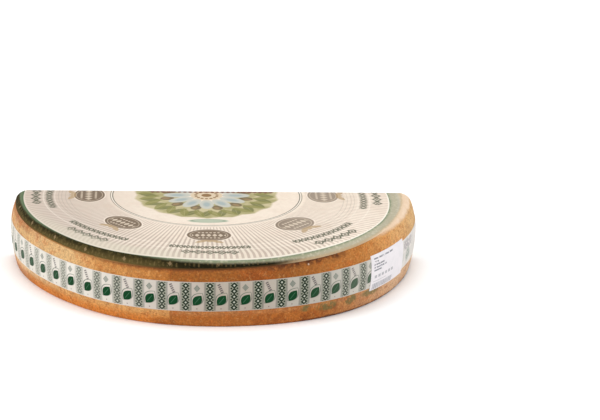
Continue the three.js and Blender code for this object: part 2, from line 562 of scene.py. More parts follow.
SEAM = -12.2
RAMP_TOP = 110  # a ramp's values end at 1, so it holds heights as shares of this
RAMP_TURNS = range(-90, 91, 12)


def speckle(finish, size, low=0.34, high=0.66, detail=2.0):
    """Grains of about the given size, from 0 to 1, with most of the contrast that noise alone lacks."""
    return finish.noise(size, detail, 0.6).between(low, high)


def below_paper(finish, round_wheel, z):
    """How far a place of the rind lies below the edge of the top paper."""
    stops = []
    for degrees in RAMP_TURNS:
        turned = math.radians(degrees)
        edge = over_top(paper_reach(turned), turned, 0).z / MM
        stops.append((degrees / 180 + 0.5, (edge / RAMP_TOP,) * 3))
    return Field(finish, round_wheel.ramp(stops)) * RAMP_TOP - z


def rind_finish():
    """Dry washed rind: golden at the ends, browner at the front, with spots, stains and a fine grain."""
    shades = colours()
    finish = Finish("rind", shades.orange[:], 0.75, 0.2)
    x, y, z = finish.millimetres(finish.object_place)
    turned = polar(x, y - CUT_Y / MM)[1]
    aside = turned * math.radians(wheel().radius / MM)
    round_wheel = turned / 180 + 0.5
    below = below_paper(finish, round_wheel, z)
    level = z - (turned * math.radians(2)).maths("SINE") * (papers().band_sway / MM)

    # The rind's tone round the wheel: the left end is golden up to a seam, and past it the rind is browner.
    tones = [
        (-90, shades.amber), (-72, shades.gold), (-44, shades.gold), (-34, shades.amber),
        (SEAM - 1, shades.orange), (SEAM, shades.brown), (3, shades.brown), (10, shades.rust),
        (20, shades.brown), (38, shades.orange), (43, shades.orange), (53, shades.amber),
        (62, shades.honey), (78, shades.gold),
    ]
    finish.colour = round_wheel.ramp([(degrees / 180 + 0.5, shade[:]) for degrees, shade in tones])
    past_seam = turned.between(SEAM - 0.8, SEAM + 0.8)

    # Below the band the rind glows orange towards the foot, with rust patches past the front. It is
    # paler towards the right end, and right under the band at the left end.
    low = z.between(32, 24)
    finish.coat(tone(0.79, 0.57, 0.32), low * (1 - past_seam) * 0.85)
    glow = z.between(20, 6) * (1 - past_seam) * turned.between(-74, -62)
    finish.coat(tone(0.79, 0.46, 0.17), low * glow * 0.9)
    finish.coat(tone(0.68, 0.40, 0.16), low * past_seam * turned.between(40, 22) * 0.85)
    patches = finish.noise(17, 3, 0.65).between(0.50, 0.64) * turned.between(2, 20) * turned.between(48, 38)
    finish.coat(shades.rust[:], patches * low * 0.85)
    finish.coat(shades.rust[:], oval(aside + 82, z - 5, 20, 7).between(-2, 3) * 0.5)
    finish.coat(tone(0.78, 0.65, 0.54), low * turned.between(26, 68) * 0.75)
    fringe = low * level.between(15, 24)
    finish.coat(tone(0.82, 0.71, 0.55), fringe * (turned.between(-46, -64) * 0.7 + 0.12))

    # The left end: pale pinkish patches, a deeper orange under the top paper and at the foot.
    pinkish = finish.noise(24, 2).between(0.46, 0.62) * turned.between(-52, -76)
    finish.coat(tone(0.82, 0.64, 0.50), pinkish * 0.6)
    finish.coat(tone(0.62, 0.40, 0.24), turned.between(-54, -72) * below.between(14, 4) * 0.8)
    finish.coat(tone(0.66, 0.43, 0.27), turned.between(-60, -72) * z.between(18, 9) * 0.8)

    # Soft mottling, orange spots and dark and light flecks everywhere.
    finish.coat(shades.rust[:], speckle(finish, 26, 0.44, 0.66, 3) * 0.26)
    finish.coat(tone(0.72, 0.37, 0.13), speckle(finish, 11, 0.50, 0.66, 3) * 0.32)
    finish.coat(shades.burnt_and_shade[:], speckle(finish, 5.5, 0.54, 0.70, 3) * 0.32)
    finish.coat(tone(0.88, 0.70, 0.45), speckle(finish, 4.2, 0.53, 0.69, 3) * (0.30 - past_seam * 0.12))

    # Browner and darker at the front, right under the top paper: partly a burned rind, partly painted shade
    # below the paper's edge. The seam itself is a thin rusty line.
    ragged = (finish.noise(9, 2) - 0.5) * 5
    under = below + ragged
    at_front = turned.between(-46, -20) * turned.between(42, 26)
    finish.coat(tone(0.60, 0.35, 0.14), under.between(9, 0) * at_front * 0.65)
    finish.coat(shades.burnt_and_shade[:], under.between(5, -1) * at_front * 0.75)
    finish.coat(shades.rust[:], rod(turned - SEAM, 0.22).cover(0.3) * 0.45)

    # The fine grain, light and dark.
    grain = speckle(finish, 2.6)
    finish.shade_by(grain * 0.36 + 0.82)
    finish.raise_by(grain * 0.14)
    finish.raise_by(speckle(finish, 7) * 0.28)

    # The flat top and the upper shoulder stay pale where the paper leaves them bare, at the right.
    bare = (z + finish.noise(20, 2) * 3).between(99, 105) * turned.between(48, 60)
    finish.coat(tone(0.87, 0.77, 0.66), bare * 0.92)
    finish.coat(tone(0.90, 0.82, 0.74), bare * speckle(finish, 12, 0.44, 0.66) * 0.4)

    # A dark patch and a white fleck under the front edge of the top paper.
    stroke = rod(turned - 25, 15).between(0, 6) * under.between(11, 3)
    finish.coat(tone(0.28, 0.14, 0.05), stroke * speckle(finish, 9, 0.34, 0.60) * 0.85)
    finish.coat(tone(0.86, 0.80, 0.72), disc(aside - 141.3, z - 90, 1.3).cover(1.5) * 0.5)

    # Green ink rubbed off below the band, and a darker foot, both past the front.
    rubbed = finish.noise(7, 3, 0.6).between(0.34, 0.54)
    for across, height, half_width, half_height in (
        (137, 22, 9, 6), (173, 20, 19, 8), (217, 21, 14, 9), (262, 22, 22, 7),
    ):
        smudge = oval(aside - across, z - height, half_width, half_height).between(-1.5, 3)
        finish.coat(tone(0.32, 0.36, 0.21), smudge * rubbed * 0.7)
    edge = z + finish.noise(12, 2) * 4
    finish.coat(tone(0.30, 0.16, 0.12), edge.between(7, 3) * turned.between(14, 32) * 0.85)
    return finish.ready()


def paste_finish():
    """Smooth golden paste, a little deeper in tone towards a thin brown rind."""
    shades = colours()
    finish = Finish("paste", shades.paste[:], 0.42, 0.4)
    x, y, z = finish.millimetres(finish.object_place)
    radius, height, widest, top_taper, foot_taper, shoulder = (
        getattr(wheel(), name) / MM
        for name in ("radius", "height", "widest", "top_taper", "foot_taper", "shoulder")
    )
    finish.coat(tone(0.92, 0.77, 0.43), finish.noise(70, 2).between(0.35, 0.7) * 0.6)
    finish.coat(tone(0.95, 0.80, 0.40), finish.noise(26, 3).between(0.45, 0.75) * 0.4)

    # How far a place lies inside the side, the underside and the round shoulder.
    above = ((z - widest | 0) / (height - widest)).maths("POWER", 2) * top_taper
    under = ((widest - z | 0) / widest).maths("POWER", 2) * foot_taper
    centre_x, centre_z = (value / MM for value in rounded_edge(wheel().height, wheel().shoulder)[2])
    corner = disc(abs(x) - centre_x | 0, z - centre_z | 0, shoulder) | (centre_z - z) * 40
    to_rind = (radius - abs(x) - above - under) * 0.8 & z & corner

    # The paste deepens towards the rind and has small pale crystals, and the knife left faint marks.
    ragged = to_rind + (finish.noise(9, 3, 0.6) - 0.5) * 1.8
    finish.coat(tone(0.90, 0.70, 0.28), ragged.between(19, 5) * 0.75)
    finish.coat(tone(0.78, 0.57, 0.34), ragged.between(2.8, 1.2))
    finish.coat(tone(0.93, 0.84, 0.60), finish.noise(1.4, 1).between(0.66, 0.74) * 0.35)
    finish.raise_by(finish.noise(5, 2, 0.5, stretch=(60, 1, 1)) * 0.10)
    finish.raise_by(finish.noise(1.6, 2) * 0.05)
    body = finish.shader.inputs
    body["Subsurface Weight"].default_value = 0.25
    body["Subsurface Scale"].default_value = 0.004
    body["Subsurface Radius"].default_value = (1.0, 0.6, 0.25)
    return finish.ready()


# The print on the top paper: rings, rays, ovals, leaves and rows of small ornament.
# Reaches are in millimetres from the print's middle, turns in degrees.

CENTRE_RING = 149.5
RAYS_OUT = 285.4
RAY_COUNT = 208
OVAL_REACH = 189
OVAL_PITCH = 45
OVAL_TURN = 0.7
OVAL_SQUEEZE = (1.027, 0.984)  # across and up: the ring of ovals isn't quite round
WHITE_RING = 286.7
RIM_START = 287.6
RIM_WIDTH = 18
RIM_MARKS = 296
DARK_RIM = (311.2, 316.8)  # from the wheel's axis: sage up to the first, dark olive past the second


def paper_ground(finish, across, up):
    """Unprinted paper: a little lilac and painted darker at the left, painted paler at the right and darker
    at the front, mottled by the cheese under it.
    """
    # Painted shade at the left and the front and painted light at the right, over a faint lilac tint at the
    # left.
    finish.coat(tone(0.74, 0.69, 0.65), across.between(-40, -260) * 0.8)
    finish.coat(tone(0.92, 0.87, 0.81), across.between(60, 240) * 0.6)
    finish.coat(tone(0.87, 0.80, 0.72), up.between(-130, -20) * 0.2)
    finish.coat(tone(0.80, 0.77, 0.71), up.between(-215, -280) * 0.5)
    finish.coat(tone(0.80, 0.71, 0.63), finish.noise(30, 3, 0.6).between(0.45, 0.75) * 0.22)
    finish.coat(tone(0.80, 0.70, 0.66), speckle(finish, 7, 0.44, 0.62) * 0.16)
    finish.coat(tone(0.75, 0.75, 0.67), speckle(finish, 6, 0.46, 0.64, 3) * 0.14)
    finish.raise_by(finish.noise(18, 2) * 0.25)
    finish.raise_by(finish.noise(1.5, 2) * 0.04)


def print_rays(finish, across_paper, distance, turned):
    """Thin rays that widen outwards, as on a sunburst, worn at the right and a little at the left."""
    pitch = 360 / RAY_COUNT
    aside = turned.repeat(pitch) * distance * math.radians(1)
    half_width = (distance - CENTRE_RING) * 0.0105 + 0.7
    rays = (half_width - abs(aside)).cover(0.8)
    inside = distance.between(CENTRE_RING + 4, CENTRE_RING + 10) * distance.between(RAYS_OUT, RAYS_OUT - 1)
    worn = across_paper.between(-110, -210) * 0.10 + across_paper.between(130, 230) * 0.26
    finish.coat(tone(0.64, 0.57, 0.52), rays * inside * (0.66 - worn))


def print_rings(finish, distance):
    """Circles round the middle: a double dark one, faint grey ones and thin light ones."""
    grey = tone(0.40, 0.39, 0.35)
    pale = tone(0.93, 0.90, 0.85)
    for reach, half_width, shade, strength in (
        (CENTRE_RING - 2.0, 0.8, grey, 0.95), (CENTRE_RING - 0.4, 0.7, pale, 0.7),
        (CENTRE_RING + 1.3, 0.8, grey, 0.65),
        (216, 0.6, grey, 0.20), (222, 0.6, grey, 0.20), (228, 0.6, grey, 0.22), (233, 0.6, grey, 0.22),
        (239, 0.9, pale, 0.25), (257, 1.1, pale, 0.30),
    ):
        finish.coat(shade, rod(distance - reach, half_width).cover(0.7) * strength)


def print_ovals(finish, distance, turned, across_paper):
    """Brown ovals with a garland of dots, and a pair of tan leaves outside each."""
    radians = turned.repeat(OVAL_PITCH, OVAL_TURN) * math.radians(1)
    across = distance * radians.maths("SINE")
    out = distance * radians.maths("COSINE") - OVAL_REACH
    worn = 1 - across_paper.between(60, 150) * 0.20
    shape = oval(across, out, 34, 25)
    finish.coat(tone(0.90, 0.85, 0.79), (shape + 1.6).cover(0.8) * 0.8)
    finish.coat(colours().ink[:], shape.cover(1.2) * worn)
    pale = tone(0.82, 0.76, 0.68)
    finish.coat(pale, line_of(shape - 3.0, 0.7).cover(0.6) * 0.45)
    beads = lozenge(across.repeat(9), out - 1, 3.9, 6.5) & rod(across, 26.0)
    small = disc(across.repeat(6, 3), abs(out - 1) - 11.5, 2.0) & rod(across, 18.0)
    finish.coat(pale, (beads | small).cover(1.0) * 0.8)
    aside, along = turned_frame(abs(across) - 11, out - 28, -62)
    sprig = leaf(aside, along, 4.6, 13) | disc(across, out - 28, 4.0)
    finish.coat(tone(0.66, 0.56, 0.42), sprig.cover(1.0) * 0.75)


def print_rows(finish, distance, turned):
    """Two rows on arcs outside each oval: large lozenges with dots outside, small ones with bars inside."""
    ink = tone(0.29, 0.32, 0.25)
    radians = turned.repeat(OVAL_PITCH, OVAL_TURN) * math.radians(1)
    outer_along = radians * 270
    outer_up = distance - 268.5
    lozenges = lozenge(outer_along.repeat(18), outer_up, 9.2, 8.6)
    dots = disc(outer_along.repeat(18), outer_up, 2.4)
    studs = lozenge(outer_along.repeat(18, 9), outer_up, 3.0, 5.6)
    outer = (line_of(lozenges, 1.9) | dots | studs) & rod(outer_along, 44.5)
    inner_along = radians * 247
    inner_up = distance - 247.5
    small = line_of(lozenge(inner_along.repeat(11), inner_up, 5.2, 7.0), 1.5)
    bars = box(inner_along.repeat(11, 5.5), inner_up, 1.3, 5.8)
    inner = (small | bars) & rod(inner_along, 63)
    finish.coat(ink, (outer | inner).cover(1.0) * 0.84)


def petal_frame(distance, turned, pitch, start, reach):
    """Sideways and outward directions from points spaced evenly on a circle, in millimetres."""
    radians = turned.repeat(pitch, start) * math.radians(1)
    return distance * radians.maths("SINE"), distance * radians.maths("COSINE") - reach


def print_garden(finish, across, up, distance, turned):
    """The middle: a wreath of green leaves round pale blue blossom with brown buds, on a meadow tint."""
    lobes = abs(turned.repeat(20)) * 0.5
    meadow = ((114 - lobes) - distance & distance - 44).cover(6)
    finish.coat(tone(0.70, 0.66, 0.49), meadow * 0.8)
    finish.coat(tone(0.58, 0.56, 0.38), meadow * finish.noise(24, 2).between(0.35, 0.65) * 0.75)
    for start, lean, shade in ((0, 24, tone(0.42, 0.43, 0.27)), (7.5, -24, tone(0.52, 0.51, 0.31))):
        side, out = petal_frame(distance, turned, 15, start, 91)
        aside, along = turned_frame(side, out, lean)
        blade = leaf(aside, along, 7.0, 19)
        finish.coat(shade, blade.cover(2) * 0.8)
        finish.coat(tone(0.66, 0.64, 0.46), (rod(aside, 0.5) & blade).cover(0.8) * 0.5)
    side, out = petal_frame(distance, turned, 30, 15, 64)
    finish.coat(tone(0.42, 0.36, 0.28), oval(side, out, 8.5, 11).cover(2) * 0.85)
    finish.coat(tone(0.60, 0.51, 0.38), oval(side + 1.5, out - 2, 4, 6.5).cover(2.5) * 0.7)
    side, out = petal_frame(distance, turned, 30, 0, 46)
    petal = oval(side, out, 11, 22)
    finish.coat(tone(0.72, 0.72, 0.68), petal.cover(2))
    finish.coat(tone(0.53, 0.61, 0.63), (petal - 5.5).cover(5) * 0.6)
    finish.coat(tone(0.80, 0.73, 0.63), disc(across, up, 25).cover(1.5))
    seeds = disc((turned.repeat(24) * math.radians(1)) * 17, distance - 17, 2.6)
    finish.coat(tone(0.54, 0.43, 0.31), (seeds | disc(across, up, 8)).cover(1.2))


def print_small_things(finish, across, up):
    """A plain green tablet at the foot of the middle, and a row of red-brown lozenges along the cut."""
    finish.coat(tone(0.63, 0.68, 0.60), oval(across - 2, up + 126, 31, 9).cover(2) * 0.85)
    finish.coat(tone(0.46, 0.52, 0.44), line_of(oval(across - 2, up + 126, 28, 7), 0.6).cover(0.8) * 0.6)
    row = lozenge(across.repeat(8.5), up - 16, 4.8, 4.4) & rod(across - 8.5, 98)
    finish.coat(tone(0.46, 0.29, 0.24), row.cover(0.8) * 0.85)


def print_rim(finish, across, up, distance, turned):
    """A white circle and a dark olive rim, sage where it lies flat on the wheel's top."""
    size = papers()
    from_axis = polar(across + size.print_x / MM, up + size.print_y / MM)[0]
    margin = disc(
        across + (size.print_x - size.top_x) / MM, up + (size.print_y - size.top_y) / MM,
        size.top_radius / MM,
    )
    ragged = (finish.noise(6, 2, 0.5) - 0.5) * 1.6
    to_left = turned.between(8, -26)
    far_left = turned.between(-4, -24)
    greyed = distance.between(262, 280) * to_left * turned.between(-84, -50)
    finish.coat(tone(0.76, 0.73, 0.66), greyed * 0.6)
    ring = turned.between(20, 50) * 0.28 + 0.60 - to_left * 0.42
    finish.coat(tone(0.90, 0.89, 0.84), rod(distance - WHITE_RING, 0.65).cover(0.7) * ring)
    rim = distance.between(RIM_START - 0.3, RIM_START + 0.3)
    sage = ((distance - RIM_START) / RIM_WIDTH).ramp([
        (0.0, tone(0.46, 0.51, 0.42)), (0.16, tone(0.52, 0.54, 0.43)), (0.34, tone(0.60, 0.58, 0.48)),
        (0.60, tone(0.60, 0.58, 0.48)), (0.84, tone(0.65, 0.63, 0.56)), (1.0, tone(0.74, 0.67, 0.55)),
    ])
    finish.coat(sage, rim)
    finish.coat(tone(0.28, 0.37, 0.26), rim * far_left * 0.7)
    finish.coat(tone(0.74, 0.71, 0.64), rim * turned.between(12, 50) * distance.between(288, 292) * 0.42)
    finish.coat(tone(0.78, 0.75, 0.66), rim * speckle(finish, 5, 0.48, 0.68, 3) * (1 - to_left) * 0.5)
    earlier = to_left * 4 + turned.between(-64, -84) * 2.5
    dark = rim * (from_axis + ragged + earlier).between(*DARK_RIM) * turned.between(34, 22)
    finish.coat(tone(0.10, 0.09, 0.03), dark)
    finish.coat(tone(0.16, 0.14, 0.06), dark * far_left)
    finish.coat(tone(0.33, 0.28, 0.15), dark * far_left * (from_axis + ragged).between(311, 322) * 0.9)
    finish.coat(tone(0.40, 0.35, 0.20), dark * to_left * speckle(finish, 6, 0.44, 0.66, 3) * 0.35)
    marks = box(turned.repeat(1.3) * math.radians(RIM_MARKS), margin - 6.5, 1.2, 3.0)
    worn = speckle(finish, 6, 0.40, 0.60)
    finish.coat(tone(0.44, 0.37, 0.24), marks.cover(1.4) * dark * worn * 0.45)
    jewels = lozenge(turned.repeat(14.1, -11) * math.radians(RIM_MARKS), margin - 8.0, 3.0, 3.6)
    finish.coat(tone(0.56, 0.47, 0.35), jewels.cover(1.4) * dark * turned.between(8, 0) * 0.6)

    # The unprinted margin, soaked by the rind: golden at the left, brown at the front, tan at the right.
    frayed = (margin + ragged).between(2.6, 0.8)
    finish.coat(tone(0.36, 0.24, 0.13), frayed * turned.between(30, 10) * 0.8)
    finish.coat(tone(0.66, 0.47, 0.28), frayed * turned.between(-12, -40) * turned.between(-72, -52) * 0.8)
    finish.coat(tone(0.70, 0.59, 0.45), (margin + ragged * 2).between(6, 1) * turned.between(18, 28) * 0.8)
    frayed = (margin + ragged * 3).between(4.5, 0)
    finish.coat(tone(0.87, 0.78, 0.67), frayed * turned.between(46, 62) * 0.9)


def top_paper_finish():
    """Matt cream paper with the sunburst print."""
    finish = Finish("top_paper_print", colours().paper[:], 0.8, 0.06)
    across, up = finish.flat_place()
    distance, turned = polar(across, up)

    # Past the front the print lies up to 6 mm further out, and elsewhere it is drawn in by 1.6 mm.
    pulled = (turned.between(-18, 24) * turned.between(100, 62) * 7.5 - 1.6) * distance.between(150, 280)
    distance = distance - pulled
    oval_distance, oval_turned = polar(across * OVAL_SQUEEZE[0], up * OVAL_SQUEEZE[1])
    paper_ground(finish, across, up)
    print_rays(finish, across, distance, turned)
    print_rings(finish, distance)
    print_rows(finish, distance, oval_turned)
    print_ovals(finish, oval_distance - pulled, oval_turned, across)
    print_garden(finish, across, up, distance, turned)
    print_small_things(finish, across, up)
    print_rim(finish, across, up, distance, turned)
    return finish.ready()


# The print on the band and the ticket, in millimetres along them and up from the floor

BAND_PITCH = 35.6
BAND_START = -1.7  # turn in degrees of the middle column
BAND_MIDDLE = 49.5
COLUMN_REACH = 21.8
LINK = 8.7
LEAF_ASIDE = 16.5  # from the middle of a column to the leaf at its right
FADED_MARK = 388  # the blurred bars and blot past the ticket


def band_finish():
    """Off-white paper strip: ruled columns of dark green lozenges, with a leaf and small marks between."""
    finish = Finish("band_print", colours().band[:], 0.75, 0.12)
    along, height = finish.flat_place()
    start = math.radians(BAND_START) * wheel().radius / MM
    # Painted light and shade: the band is painted lighter towards the left end and darker across the front.
    finish.coat(tone(0.86, 0.84, 0.80), along.between(-20, -260) * 0.85)
    finish.coat(tone(0.61, 0.56, 0.49), along.between(-70, 10) * along.between(240, 160) * 0.5)
    finish.coat(tone(0.70, 0.72, 0.69), along.between(60, 130) * 0.3)
    finish.coat(tone(0.72, 0.69, 0.65), finish.noise(20, 3).between(0.4, 0.7) * 0.25)
    finish.raise_by(finish.noise(14, 2) * 0.2)

    # The columns: chained lozenges with pale eyes and small studs, on a tint between thin rules.
    column = along.repeat(BAND_PITCH, start)
    up = height - BAND_MIDDLE
    full = rod(up, COLUMN_REACH)
    worn = 1 - along.between(-60, -340) * 0.50
    finish.coat(tone(0.51, 0.53, 0.46), (rod(column, 6.2) & full).cover(0.6) * worn * 0.8)
    dark = tone(0.06, 0.14, 0.08)
    chain = lozenge(column, up.repeat(LINK), 5.6, 5.0)
    eyes = lozenge(column, up.repeat(LINK), 1.8, 1.7)
    studs = lozenge(abs(column) - 4.4, up.repeat(LINK, LINK / 2), 1.7, 1.8)
    finish.coat(dark, ((chain | studs) & full).cover(0.5) * worn * 0.95)
    finish.coat(tone(0.76, 0.77, 0.71), (eyes & full).cover(0.5) * 0.9)
    rules = rod(abs(column) - 6.9, 0.5) | rod(abs(column) - 8.4, 0.3)
    finish.coat(tone(0.30, 0.33, 0.30), (rules & full).cover(0.5) * worn * 0.85)

    # By turns a grey diamond and a slanting row of small bars above the leaf, and a dot below it.
    middle = start + LEAF_ASIDE
    even = along.repeat(2 * BAND_PITCH, middle + BAND_PITCH)
    diamond = lozenge(even, up - 13.5, 4.9, 5.4)
    hatched = diamond & (rod(even.repeat(1.9), 0.75) | rod(diamond - 0.5, 0.5))
    finish.coat(tone(0.40, 0.44, 0.40), hatched.cover(0.5) * 0.9)
    odd = along.repeat(2 * BAND_PITCH, middle)
    side, length_way = turned_frame(odd + 1, up - 13, 24)
    bars = box(side, length_way.repeat(3.1), 2.2, 1.0) & rod(length_way, 7.4)
    finish.coat(tone(0.30, 0.26, 0.28), bars.cover(0.5) * 0.85)
    between = along.repeat(BAND_PITCH, middle)
    finish.coat(tone(0.44, 0.34, 0.36), disc(between, up + 18.8, 1.0).cover(0.5) * 0.8)

    # The print is paler towards both ends.
    left_veil = along.between(0, -240) * 0.12 | along.between(-260, -470) * 0.34
    finish.coat(tone(0.87, 0.85, 0.81), left_veil | along.between(110, 270) * 0.16)

    # The leaf, tilted, with a grey outline round its upper side and a pale vein, strong at the left too.
    side, length_way = turned_frame(between - 0.6, up + 5.5, -38)
    outline = leaf(side + 1.2, length_way - 1.6, 9.2, 12.6)
    finish.coat(tone(0.30, 0.36, 0.32), line_of(outline, 0.75).cover(0.5) * 0.75)
    blade = leaf(side, length_way, 6.9, 9.9)
    strong = 1 - (along.between(-200, -440) * 0.10 | along.between(110, 270) * 0.16)
    finish.coat(colours().green[:], blade.cover(0.6) * strong)
    finish.coat(tone(0.34, 0.50, 0.40), (rod(side, 0.4) & rod(length_way, 6)).cover(0.5) * 0.5)

    # Past the ticket the print is faded, apart from blurred bars over a green blot, both rubbed.
    finish.coat(tone(0.85, 0.83, 0.81), along.between(350, 366) * 0.82)
    rubbed = finish.noise(4, 2).between(0.34, 0.54)
    aside = along - FADED_MARK
    bars = rod(aside.repeat(5), 1.5) & box(aside, up - 13, 22, 7)
    finish.coat(tone(0.46, 0.42, 0.47), bars.cover(2.5) * rubbed * 0.8)
    finish.coat(tone(0.36, 0.46, 0.40), oval(aside + 1, up + 5, 11, 12).between(-2, 4) * rubbed * 0.6)
    return finish.ready()


def ticket_finish():
    """White sticky paper with broken grey rules, a dashed line and a block of upright bars."""
    finish = Finish("ticket_print", colours().ticket[:], 0.55, 0.25)
    along, height = finish.flat_place()
    size = papers()
    across = along - size.ticket_start * wheel().radius / MM
    down = size.ticket_head / MM - height
    grey = tone(0.33, 0.35, 0.38)
    finish.coat(tone(0.82, 0.81, 0.82), finish.noise(16, 2).between(0.4, 0.7) * 0.5)
    gaps = finish.noise(3.2, 1).between(0.38, 0.46)
    for row, reach in ((6, 55), (11, 14), (15.5, 27), (20, 34), (24.5, 20)):
        rule = box(across - 7 - reach / 2, down - row, reach / 2, 1.2)
        finish.coat(grey, rule.cover(0.5) * gaps * 0.8)
    marks = box((across - 12).repeat(9.5), down - 35, 3.0, 2.3) & rod(across - 36, 28.5)
    finish.coat(grey, marks.cover(0.6) * 0.5)
    finish.coat(grey, box(across - 24, down - 42, 18, 0.5).cover(0.5) * 0.4)
    bars = rod(across.repeat(2.3), 0.6) | rod(across.repeat(5.1), 0.9)
    finish.coat(tone(0.42, 0.44, 0.48), (bars & box(across - 33, down - 50, 28, 4.6)).cover(0.5) * 0.65)
    return finish.ready()


# The pieces

class MESH_OT_cheese_half_wheel(bpy.types.Operator):
    """Models the half wheel: its outline is spun half way round and its rind is given its relief"""

    bl_idname = "mesh.cheese_half_wheel"
    bl_label = "Half Wheel"

    COLUMNS = 12  # of the flat section, from the axis out to the rind
    SPREAD = 1.7  # past 1, the columns crowd towards the rind
    SECTORS = 8  # the first is spun, the others are its copies
    SWELL_PATCH = 45 * MM
    GRAIN_PATCH = 5 * MM
    RIND_SHARE = 0.86  # of the side's radius: no relief on what lies further in
    FADE = 3 * MM
    FOOT_FADE = 6 * MM

    def execute(self, context):
        outline = rind_outline()
        rows = len(outline) - 1
        begin()
        bpy.ops.mesh.primitive_grid_add(
            x_subdivisions=self.COLUMNS, y_subdivisions=rows, size=1,
            location=(0.5, CUT_Y, 0.5), rotation=(math.pi / 2, 0, 0),
        )
        piece = started("half_wheel")
        self.shape_section(piece, outline, rows)
        edit()
        self.spin_round()
        weld()
        done()
        self.put_out_of_round(piece)
        self.mark_bare_rind(piece)
        displace(piece, "Swell", self.SWELL_PATCH, wheel().swell, "bare rind")
        displace(piece, "Grain", self.GRAIN_PATCH, wheel().grain, "bare rind")
        piece.vertex_groups.clear()
        smooth()
        hand_over(piece, "cheese", [rind_finish(), paste_finish()])
        edit()
        select("FACE", self.in_cut)
        piece.active_material_index = 1
        bpy.ops.object.material_slot_assign()
        done()
        return {"FINISHED"}

    @staticmethod
    def in_cut(face):
        """Whether a face lies in the plane of the cut."""
        return abs(face.normal.y) > 0.99 and face.calc_center_median().y > CUT_Y - 0.1 * MM

    def spin_round(self):
        """Spins the outline through one sector, then copies that round and the section to the left."""
        sector = math.pi / self.SECTORS
        axis = {"center": (0, CUT_Y, 0), "axis": (0, 0, 1)}
        select("EDGE", lambda edge: edge.is_boundary and max(v.co.x for v in edge.verts) > MM)
        bpy.ops.mesh.spin(steps=wheel().steps // self.SECTORS, angle=sector, **axis)
        select("FACE", lambda face: not self.in_cut(face))
        bpy.ops.mesh.spin(dupli=True, steps=self.SECTORS - 1, angle=math.pi - sector, **axis)
        select("FACE", self.in_cut)
        bpy.ops.mesh.spin(dupli=True, steps=1, angle=math.pi, **axis)

    def shape_section(self, piece, outline, rows):
        """Moves the flat grid's corners so that it fills half the wheel's section."""
        for corner in piece.data.vertices:
            column = round(corner.co.x * self.COLUMNS)
            radius, height = outline[round(corner.co.z * rows)]
            share = 1 - (1 - column / self.COLUMNS) ** self.SPREAD
            corner.co = (share * radius, CUT_Y, height)

    def put_out_of_round(self, piece):
        for corner in piece.data.vertices:
            x, y, height = corner.co.x, corner.co.y - CUT_Y, corner.co.z
            if math.hypot(x, y) > MM:
                corner.co = place(math.hypot(x, y), turn_of(x, min(y, 0)), height)

    def mark_bare_rind(self, piece):
        """Weights that let relief fade out under the papers, at the foot and at the cut."""
        group = piece.vertex_groups.new(name="bare rind")
        size = papers()
        for corner in piece.data.vertices:
            x, y, height = corner.co.x, corner.co.y - CUT_Y, corner.co.z
            if math.hypot(x, y) < self.RIND_SHARE * side_radius(height):
                continue
            turned = turn_of(x, y)
            level = height - sway(turned)
            off_band = max(size.band_foot - level, level - size.band_head)
            below_top = over_top(paper_reach(turned), turned, 0).z - height
            weight = min(1, min(off_band, below_top, -y) / self.FADE, height / self.FOOT_FADE)
            if weight > 0:
                group.add([corner.index], weight, "REPLACE")


class MESH_OT_cheese_top_paper(bpy.types.Operator):
    """Cuts the round printed paper flat, trims it at the cut and lays it over the top and shoulder"""

    bl_idname = "mesh.cheese_top_paper"
    bl_label = "Top Paper"

    CORNERS = 512
    EDGE_RINGS, EDGE_STEP = 15, 2.5 * MM
    MIDDLE_RINGS, MIDDLE_STEP = 8, 30 * MM

    def execute(self, context):
        size = papers()
        begin()
        bpy.ops.mesh.primitive_circle_add(
            vertices=self.CORNERS, radius=size.top_radius, fill_type="NGON",
            location=(size.top_x, CUT_Y + size.top_y, 0),
        )
        piece = started("wheel_paper")
        edit()
        bpy.ops.mesh.select_all(action="SELECT")
        for _ in range(self.EDGE_RINGS):
            bpy.ops.mesh.inset(thickness=self.EDGE_STEP)
        for _ in range(self.MIDDLE_RINGS):
            bpy.ops.mesh.inset(thickness=self.MIDDLE_STEP)
        bpy.ops.mesh.poke()
        bpy.ops.mesh.select_all(action="SELECT")
        bpy.ops.mesh.bisect(plane_co=(0, CUT_Y, 0), plane_no=(0, 1, 0), clear_outer=True)
        done()
        keep_flat_map(piece, (size.print_x, CUT_Y + size.print_y))
        for corner in piece.data.vertices:
            x, y = corner.co.x, min(corner.co.y - CUT_Y, 0)
            corner.co = over_top(math.hypot(x, y), turn_of(x, y), size.lift)
        thicken(piece, size.thickness)
        smooth()
        hand_over(piece, "top_paper", [top_paper_finish()])
        return {"FINISHED"}


def paper_strip(name, start, end, foot, head, columns, rows, lift_at):
    """A strip cut flat, then wrapped round the side. lift_at gives its lift at a height."""
    radius = wheel().radius
    begin()
    bpy.ops.mesh.primitive_grid_add(
        x_subdivisions=columns, y_subdivisions=rows, size=1,
        location=((start + end) / 2 * radius, (foot + head) / 2, 0),
    )
    bpy.context.object.scale = ((end - start) * radius, head - foot, 1)
    piece = started(name)
    keep_flat_map(piece, (0, 0))
    for corner in piece.data.vertices:
        turned, height = corner.co.x / radius, corner.co.y
        corner.co = over_side(height + sway(turned), turned, lift_at(height))
    thicken(piece, papers().thickness)
    smooth()
    return piece


